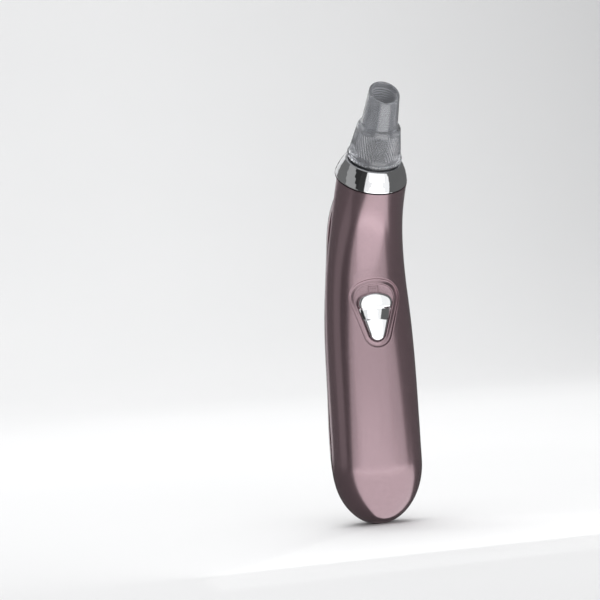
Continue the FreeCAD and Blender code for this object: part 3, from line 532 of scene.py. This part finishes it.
# the skirt's ribs: how many, half their depth, and the turn of their slant in radians of phase per millimetre
RIBS, RIB_DEPTH, RIB_SLANT = 54, 0.2, 2.1
TIP_HEIGHT, SLANT_START = 33.0, 18.0
MOUTH_RADIUS = 6.7
MOUTH_SLANT = math.tan(math.radians(18))


def build_ring():
    outline = dense(rounded([
        (14.3, 0.42, 0.1), (15.97, 0.42, 0.22), (15.9, 0.9, 0.5), (15.35, 2.9, 3.0), (14.45, 5.2, 4.0),
        (13.25, 7.4, 3.0), (12.5, 8.45, 0.6), (11.9, 8.8, 0.3), (11.15, 8.8, 0.2), (11.15, 7.4, 0.1),
    ]), 0.6)
    ring = revolve("NeckRing", outline, TIP_FRAME, 256)
    weld(ring, 0.002, 60)
    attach(ring, "handle")
    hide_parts("neck_ring")
    return ring


def tip_shape(radius, high, turn):
    """Teeth round the flange, slanting ribs on the skirt, fine rings on the neck, and the slanted mouth."""
    outer = radius > np.interp(high, [0, 15, 17, TIP_HEIGHT], [9.7, 8.6, 7.2, 6.1])
    notch = smooth((np.cos(TEETH * turn) + 0.25) / 0.5)
    in_flange = outer * (high < 1.62) * (radius > 11.65)
    radius = radius - in_flange * TOOTH_DEPTH * (1 - notch)
    ribs = smooth((high - 2.6) / 1.2) * smooth((14.3 - high) / 1.6) * outer
    radius = radius + ribs * RIB_DEPTH * (np.cos(RIBS * turn + high * RIB_SLANT) - 1)
    rings = smooth((high - 17.4) / 1.0) * smooth((31.0 - high) / 1.5) * outer
    radius = radius + rings * 0.05 * (np.cos(high * 5.2) - 1)
    reach = TIP_HEIGHT - MOUTH_SLANT * (MOUTH_RADIUS - radius * np.sin(turn))
    slanted = SLANT_START + (high - SLANT_START) * (reach - SLANT_START) / (TIP_HEIGHT - SLANT_START)
    return radius, np.where(high > SLANT_START, slanted, high)


def build_tip():
    outline = dense(rounded([
        (8.05, 0.02, 0.1), (11.85, 0.02, 0.12), (12.05, 0.25, 0.15), (12.05, 1.3, 0.15), (11.8, 1.55, 0.12),
        (11.5, 1.6, 0.25), (9.45, 15.0, 0.5), (9.0, 15.8, 0.4), (7.95, 16.3, 0.6), (6.7, 32.8, 0.25), (6.6, 33.0, 0.2),
        (5.75, 33.0, 0.2), (5.6, 32.8, 0.2), (6.4, 17.2, 0.5), (7.5, 14.4, 0.5), (8.05, 6.2, 0.5),
    ]), 0.3)
    place = TIP_FRAME @ Matrix.Translation((0, 0, TIP_BASE))
    tip = revolve("SuctionTip", outline, place, 720, tip_shape)
    weld(tip, 0.001, 60)
    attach(tip, "tip")
    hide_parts("suction_tip")
    return tip


# ----------------------------------------------------------------------------------------------- materials
class Shader:
    """A short way to write a material's nodes."""

    def __init__(self, name):
        self.material = bpy.data.materials.new(name)
        self.material.use_nodes = True
        self.tree = self.material.node_tree
        self.main = self.tree.nodes["Principled BSDF"]

    def node(self, kind, **values):
        made = self.tree.nodes.new(kind)
        for key, given in values.items():
            if key in made.inputs:
                made.inputs[key].default_value = given
            else:
                setattr(made, key, given)
        return made

    def link(self, source, target):
        self.tree.links.new(source, target)
        return self

    def set(self, **values):
        names = {key.replace(" ", "_").lower(): key for key in self.main.inputs.keys()}
        for key, given in values.items():
            self.main.inputs[names[key]].default_value = given
        return self

    def place(self):
        return self.node("ShaderNodeTexCoord").outputs["Object"]

    def noise(self, scale, detail=4.0, roughness=0.55):
        made = self.node("ShaderNodeTexNoise", Scale=scale, Detail=detail, Roughness=roughness)
        self.link(self.place(), made.inputs["Vector"])
        return made.outputs["Fac"]

    def ramp(self, source, low, high, first, last):
        made = self.node("ShaderNodeMapRange")
        made.inputs["From Min"].default_value = low
        made.inputs["From Max"].default_value = high
        made.inputs["To Min"].default_value = first
        made.inputs["To Max"].default_value = last
        self.link(source, made.inputs["Value"])
        return made.outputs["Result"]

    def blend(self, factor, first, last):
        made = self.node("ShaderNodeMix", data_type="RGBA")
        for socket in made.inputs:
            if socket.type == "RGBA" and socket.name == "A":
                socket.default_value = (*first, 1)
            if socket.type == "RGBA" and socket.name == "B":
                socket.default_value = (*last, 1)
        self.link(factor, made.inputs["Factor"])
        return next(o for o in made.outputs if o.type == "RGBA")

    def bump(self, height, distance, strength=1.0):
        made = self.node("ShaderNodeBump", Strength=strength, Distance=distance)
        self.link(height, made.inputs["Height"])
        self.link(made.outputs["Normal"], self.main.inputs["Normal"])
        return self

    def give(self, *objects):
        for thing in objects:
            thing.data.materials.clear()
            thing.data.materials.append(self.material)
        return self


def worn_plastic(name, first, last, rough=(0.32, 0.5), grain=900.0, coarse=90.0, bump=0.00002, **extra):
    """Moulded plastic or rubber: mottled colour, uneven gloss and a fine grain."""
    shader = Shader(name)
    broad = shader.noise(coarse, 5.0)
    shader.link(shader.blend(shader.ramp(broad, 0.3, 0.7, 0, 1), first, last), shader.main.inputs["Base Color"])
    shader.link(shader.ramp(shader.noise(coarse * 3, 3.0), 0.3, 0.7, *rough), shader.main.inputs["Roughness"])
    shader.bump(shader.noise(grain, 3.0), bump)
    return shader.set(**extra)


def bare_metal(name, first, last, rough=(0.18, 0.34), grain=700.0, coarse=60.0, bump=0.00001, **extra):
    return worn_plastic(name, first, last, rough, grain, coarse, bump, metallic=1.0, **extra)


def lacquer(name):
    """Metallic rose lacquer: fine flakes under a clear coat."""
    shader = Shader(name)
    flakes = shader.node("ShaderNodeTexVoronoi", Scale=5200.0)
    shader.link(shader.place(), flakes.inputs["Vector"])
    apart = shader.node("ShaderNodeSeparateColor")
    shader.link(flakes.outputs["Color"], apart.inputs["Color"])
    picked = shader.ramp(apart.outputs[0], 0.0, 1.0, 0.0, 1.0)
    tint = shader.blend(picked, (0.272, 0.186, 0.207), (0.335, 0.233, 0.259))
    shader.link(tint, shader.main.inputs["Base Color"])
    shader.link(shader.ramp(apart.outputs[1], 0.0, 1.0, 0.2, 0.27), shader.main.inputs["Roughness"])
    shader.bump(shader.noise(2600.0, 2.0), 0.000012, 0.6)
    return shader.set(metallic=0.82, coat_weight=0.5, coat_roughness=0.09, coat_ior=1.5)


def chrome(name):
    """Bright plating: mirror with a faint haze and very slight waviness."""
    shader = Shader(name)
    cloud = shader.ramp(shader.noise(140.0, 3.0), 0.3, 0.7, 0, 1)
    tint = shader.blend(cloud, (0.83, 0.84, 0.855), (0.88, 0.885, 0.895))
    shader.link(tint, shader.main.inputs["Base Color"])
    shader.link(shader.ramp(shader.noise(420.0, 4.0), 0.35, 0.65, 0.035, 0.075), shader.main.inputs["Roughness"])
    shader.bump(shader.noise(160.0, 1.0), 0.00002, 0.35)
    return shader.set(metallic=1.0)


def clear(name):
    """Greyish clear plastic with a slight haze and moulding ripples."""
    shader = Shader(name)
    cloud = shader.ramp(shader.noise(220.0, 4.0), 0.3, 0.7, 0, 1)
    tint = shader.blend(cloud, (0.50, 0.51, 0.54), (0.60, 0.61, 0.64))
    shader.link(tint, shader.main.inputs["Base Color"])
    shader.link(shader.ramp(shader.noise(500.0, 4.0), 0.35, 0.65, 0.08, 0.2), shader.main.inputs["Roughness"])
    shader.bump(shader.noise(700.0, 3.0), 0.00002, 0.5)
    return shader.set(transmission_weight=0.8, ior=1.49, coat_weight=1.0, coat_roughness=0.05)


# settings that only some inner looks have, and the CAD nodes that share a look
RUBBER = {"grain": 1500.0}
SLEEVE = {"coat_weight": 0.4}
NYLON = {"subsurface_weight": 0.1}
SILICONE = {"subsurface_weight": 0.3}
OPEN_FOAM = {"grain": 1400.0, "coarse": 700.0, "bump": 0.0002}
BLACK_PARTS = ("button_carrier", "battery_tray", "switch_lever", "filter_grille", "motor_end_cap")
NYLON_PARTS = ("crank_case", "wobble_plate", "valve_plate", "pump_head", "eccentric")
RUBBER_PARTS = ("diaphragm", "tip_seal", "motor_mount")
STEEL_PARTS = ("case_screws", "board_screws", "pump_screws", "switch_body", "motor_can")
BRASS_PARTS = ("bridge_contact", "positive_contact", "negative_contact", "contact_springs", "motor_bushes")
CELLS = ("battery_left", "battery_right")
BLACK_LEAD = ("motor_lead_black",)
# each inner look: its maker, name, darker and lighter colours, roughness range, other settings and CAD nodes
INNER_LOOKS = (
    (worn_plastic, "dark_socket", (0.035, 0.036, 0.04), (0.06, 0.062, 0.067), (0.25, 0.42), {}, ("nozzle_socket",)),
    (worn_plastic, "black_plastic", (0.016, 0.016, 0.018), (0.035, 0.035, 0.038), (0.35, 0.55), {}, BLACK_PARTS),
    (worn_plastic, "white_nylon", (0.62, 0.6, 0.55), (0.74, 0.72, 0.67), (0.35, 0.5), NYLON, NYLON_PARTS),
    (worn_plastic, "soft_rubber", (0.02, 0.02, 0.022), (0.05, 0.05, 0.052), (0.55, 0.75), RUBBER, RUBBER_PARTS),
    (worn_plastic, "silicone_hose", (0.6, 0.6, 0.58), (0.72, 0.72, 0.7), (0.35, 0.5), SILICONE, ("suction_hose",)),
    (worn_plastic, "sponge", (0.5, 0.5, 0.47), (0.78, 0.77, 0.72), (0.8, 0.95), OPEN_FOAM, ("filter_sponge",)),
    (bare_metal, "zinc_steel", (0.42, 0.42, 0.43), (0.56, 0.56, 0.57), (0.18, 0.34), {}, STEEL_PARTS),
    (bare_metal, "rotor_steel", (0.33, 0.34, 0.36), (0.47, 0.47, 0.48), (0.25, 0.45), {}, ("rotor",)),
    (bare_metal, "contact_plate", (0.55, 0.5, 0.36), (0.7, 0.66, 0.5), (0.2, 0.35), {}, BRASS_PARTS),
    (worn_plastic, "board_laminate", (0.012, 0.09, 0.035), (0.02, 0.14, 0.055), (0.28, 0.42), {}, ("circuit_board",)),
    (worn_plastic, "component_plastic", (0.015, 0.015, 0.017), (0.04, 0.04, 0.043), (0.4, 0.6), {}, ("board_parts",)),
    (worn_plastic, "ferrite", (0.03, 0.03, 0.032), (0.07, 0.07, 0.073), (0.55, 0.75), {}, ("motor_magnets",)),
    (worn_plastic, "cell_sleeve", (0.03, 0.11, 0.2), (0.05, 0.15, 0.26), (0.2, 0.34), SLEEVE, CELLS),
    (worn_plastic, "lead_red", (0.45, 0.02, 0.015), (0.6, 0.035, 0.025), (0.35, 0.5), {}, ("motor_lead_red",)),
    (worn_plastic, "lead_black", (0.015, 0.015, 0.015), (0.035, 0.035, 0.035), (0.35, 0.5), {}, BLACK_LEAD),
)


def paint_everything(shell, mark, ring, button, tip):
    lacquer("rose_lacquer").give(shell, mark, NODES["back_shell"], NODES["battery_cover"])
    chrome("bright_plating").give(ring, button)
    clear("clear_plastic").give(tip)
    for maker, name, dark, light, rough, settings, nodes in INNER_LOOKS:
        maker(name, dark, light, rough, **settings).give(*(NODES[n] for n in nodes))


# ------------------------------------------------------------------------------------- stage, light, camera
# the backdrop: half its width, its front edge, where its sweep starts, the sweep's radius and steps, and its top
PAPER_HALF, PAPER_FRONT, SWEEP_START, SWEEP_RADIUS, SWEEP_STEPS, PAPER_TOP = 4.0, -3.0, 1.2, 0.9, 16, 3.0
# the softbox: its sides, the Y and Z of its low and high edges, and its brightness
BOX_LEFT, BOX_RIGHT = -0.105, 0.125
BOX_LOW, BOX_HIGH = Vector((0, -0.10, 0.002)), Vector((0, -0.45, 0.6))
SOFTBOX = 0.9
# the cards that stand round the object in a rectangle, and the low ones on the floor
ROOM_LEFT, ROOM_RIGHT, ROOM_FRONT, ROOM_BACK, ROOM_HIGH = -0.21, 0.23, -0.5, 0.3, 0.55
FLOOR_FRONT = -0.13
# the line on the floor under the object that parts its bright front from its dark back, from right to left
FLOOR_EDGE = [(ROOM_RIGHT, -0.112), (0.084, -0.030), (0.025, -0.006), (0.0, -0.0062), (-0.004, -0.0075)]
FLOOR_EDGE += [(-0.027, -0.028), (-0.105, -0.105)]
CAMERA_PLACE = (-0.22717, -0.65983, 0.09072)
CAMERA_RIGHT = (0.95688, -0.28362, -0.06283)
CAMERA_UP = (0.05564, -0.03333, 0.99789)
CAMERA_FORWARD = (0.28511, 0.95836, 0.01611)
CAMERA_LENS = 93.06


def build_stage():
    """A pale floor that sweeps up into a pale backdrop."""
    profile = [(PAPER_FRONT, 0.0), (SWEEP_START, 0.0)]
    for k in range(1, SWEEP_STEPS + 1):
        a = math.radians(90 * k / SWEEP_STEPS)
        profile.append((SWEEP_START + SWEEP_RADIUS * math.sin(a), SWEEP_RADIUS * (1 - math.cos(a))))
    profile.append((SWEEP_START + SWEEP_RADIUS, PAPER_TOP))
    points = [(x, y, z) for y, z in profile for x in (-PAPER_HALF, PAPER_HALF)]
    floor = mesh_object("Backdrop", np.array(points) * METRE, grid_faces(len(profile), 2))
    shader = Shader("backdrop_paper")
    tint = shader.blend(shader.noise(3.0, 3.0), (0.80, 0.80, 0.80), (0.83, 0.83, 0.83))
    shader.link(tint, shader.main.inputs["Base Color"])
    shader.set(roughness=0.9, specular_ior_level=0.1)
    shader.give(floor)


def panel(name, centre, aim, wide, high, watts):
    """A soft rectangular light that the camera doesn't see."""
    data = bpy.data.lights.new(name, "AREA")
    data.shape = "RECTANGLE"
    data.size, data.size_y = wide, high
    data.energy = watts
    lamp = bpy.data.objects.new(name, data)
    lamp.location = centre
    lamp.rotation_mode = "QUATERNION"
    lamp.rotation_quaternion = (Vector(aim) - Vector(centre)).to_track_quat("-Z", "Y")
    lamp.visible_camera = False
    bpy.context.scene.collection.objects.link(lamp)
    return lamp


def card(name, corners, radiance):
    """A board that only reflections see, with its own even brightness."""
    board = mesh_object(name, np.array(corners) * METRE, [tuple(range(len(corners)))])
    material = bpy.data.materials.new(name)
    material.use_nodes = True
    tree = material.node_tree
    tree.nodes.remove(tree.nodes["Principled BSDF"])
    glow = tree.nodes.new("ShaderNodeEmission")
    glow.inputs["Color"].default_value = (1, 1, 1, 1)
    glow.inputs["Strength"].default_value = radiance
    tree.links.new(glow.outputs["Emission"], tree.nodes["Material Output"].inputs["Surface"])
    board.data.materials.append(material)
    board.visible_camera = False
    board.visible_diffuse = False
    board.visible_shadow = False
    board.visible_transmission = False
    return board


def upright(name, start, end, high, radiance):
    """A card that stands on the floor between two points of it."""
    (x0, y0), (x1, y1) = start, end
    return card(name, [(x0, y0, 0.0), (x1, y1, 0.0), (x1, y1, high), (x0, y0, high)], radiance)


def build_softbox():
    """The front light, which leans away from the object as it rises, and a dim card on each side of it."""
    along = BOX_HIGH - BOX_LOW
    wide = BOX_RIGHT - BOX_LEFT
    middle = (BOX_LOW + BOX_HIGH) / 2 + Vector(((BOX_LEFT + BOX_RIGHT) / 2, 0, 0))
    facing = along.cross(Vector((1, 0, 0))).normalized()
    panel("softbox", middle, middle + facing, wide, along.length, SOFTBOX * math.pi * wide * along.length)
    sides = (("slant_left", BOX_LEFT - 0.11, BOX_LEFT, 0.04), ("slant_right", BOX_RIGHT, BOX_RIGHT + 0.11, 0.13))
    (_, y0, z0), (_, y1, z1) = BOX_LOW, BOX_HIGH
    for name, x0, x1, radiance in sides:
        card(name, [(x0, y0, z0), (x1, y0, z0), (x1, y1, z1), (x0, y1, z1)], radiance)


def build_cards():
    """The boards that give the lacquer and the chrome their bright and dark bands."""
    front = [(BOX_LEFT, FLOOR_FRONT), (ROOM_RIGHT, FLOOR_FRONT)] + FLOOR_EDGE
    card("front_floor", [(x, y, 0.0012) for x, y in front], 1.6)
    back = [(ROOM_LEFT, -0.2), (-0.105, -0.105)] + FLOOR_EDGE[-2::-1]
    back += [(ROOM_RIGHT, ROOM_BACK), (ROOM_LEFT, ROOM_BACK)]
    card("dark_floor", [(x, y, 0.001) for x, y in back], 0.1)
    beside = (
        ("floor_left", ROOM_LEFT, BOX_LEFT, -0.105, 0.08),
        ("floor_right", BOX_RIGHT, ROOM_RIGHT, FLOOR_FRONT, 0.16),
    )
    for name, x0, x1, y1, radiance in beside:
        floor = ((x0, ROOM_FRONT), (x1, ROOM_FRONT), (x1, y1), (x0, y1))
        card(name, [(x, y, 0.001) for x, y in floor], radiance)
    left = (
        ("left_dark", ROOM_FRONT, -0.11, 0.03),
        ("left_pale", -0.11, 0.01, 0.34),
        ("left_grey", 0.01, ROOM_BACK, 0.16),
    )
    for name, y0, y1, radiance in left:
        upright(name, (ROOM_LEFT, y0), (ROOM_LEFT, y1), ROOM_HIGH, radiance)
    upright("right_grey", (ROOM_RIGHT, ROOM_BACK), (ROOM_RIGHT, ROOM_FRONT), ROOM_HIGH, 0.13)
    # the tip shows this one through it too, so that its edges read dark as they do in a dark tray
    flag = upright("rear_flag", (-0.01, ROOM_BACK), (0.19, ROOM_BACK), 0.26, 0.07)
    flag.visible_transmission = True


def build_lights():
    build_softbox()
    build_cards()
    above = panel("above", (0.0, 0.1, 1.3), (0.0, 0.0, 0.0), 1.4, 1.4, 15.0)
    behind = panel("behind", (0.0, 1.0, 1.9), (0.0, 2.1, 0.5), 2.4, 1.0, 22.0)
    for lamp in (above, behind):
        lamp.visible_glossy = False
    world = bpy.data.worlds.new("World")
    world.use_nodes = True
    world.node_tree.nodes["Background"].inputs["Color"].default_value = (0.75, 0.76, 0.78, 1)
    world.node_tree.nodes["Background"].inputs["Strength"].default_value = 0.4
    bpy.context.scene.world = world


def build_camera():
    data = bpy.data.cameras.new("Camera")
    data.sensor_width = 36.0
    data.lens = CAMERA_LENS
    data.clip_start, data.clip_end = 0.01, 20.0
    camera = bpy.data.objects.new("Camera", data)
    turn = Matrix([CAMERA_RIGHT, CAMERA_UP, [-v for v in CAMERA_FORWARD]]).transposed().to_4x4()
    camera.matrix_world = Matrix.Translation(CAMERA_PLACE) @ turn
    bpy.context.scene.collection.objects.link(camera)
    bpy.context.scene.camera = camera


bpy.context.scene.view_settings.view_transform = "Standard"
shell = build_front_shell()
ring = build_ring()
button = build_button()
tip = build_tip()
mark = build_window_mark()
paint_everything(shell, mark, ring, button, tip)
build_stage()
build_lights()
build_camera()
bpy.context.view_layer.update()
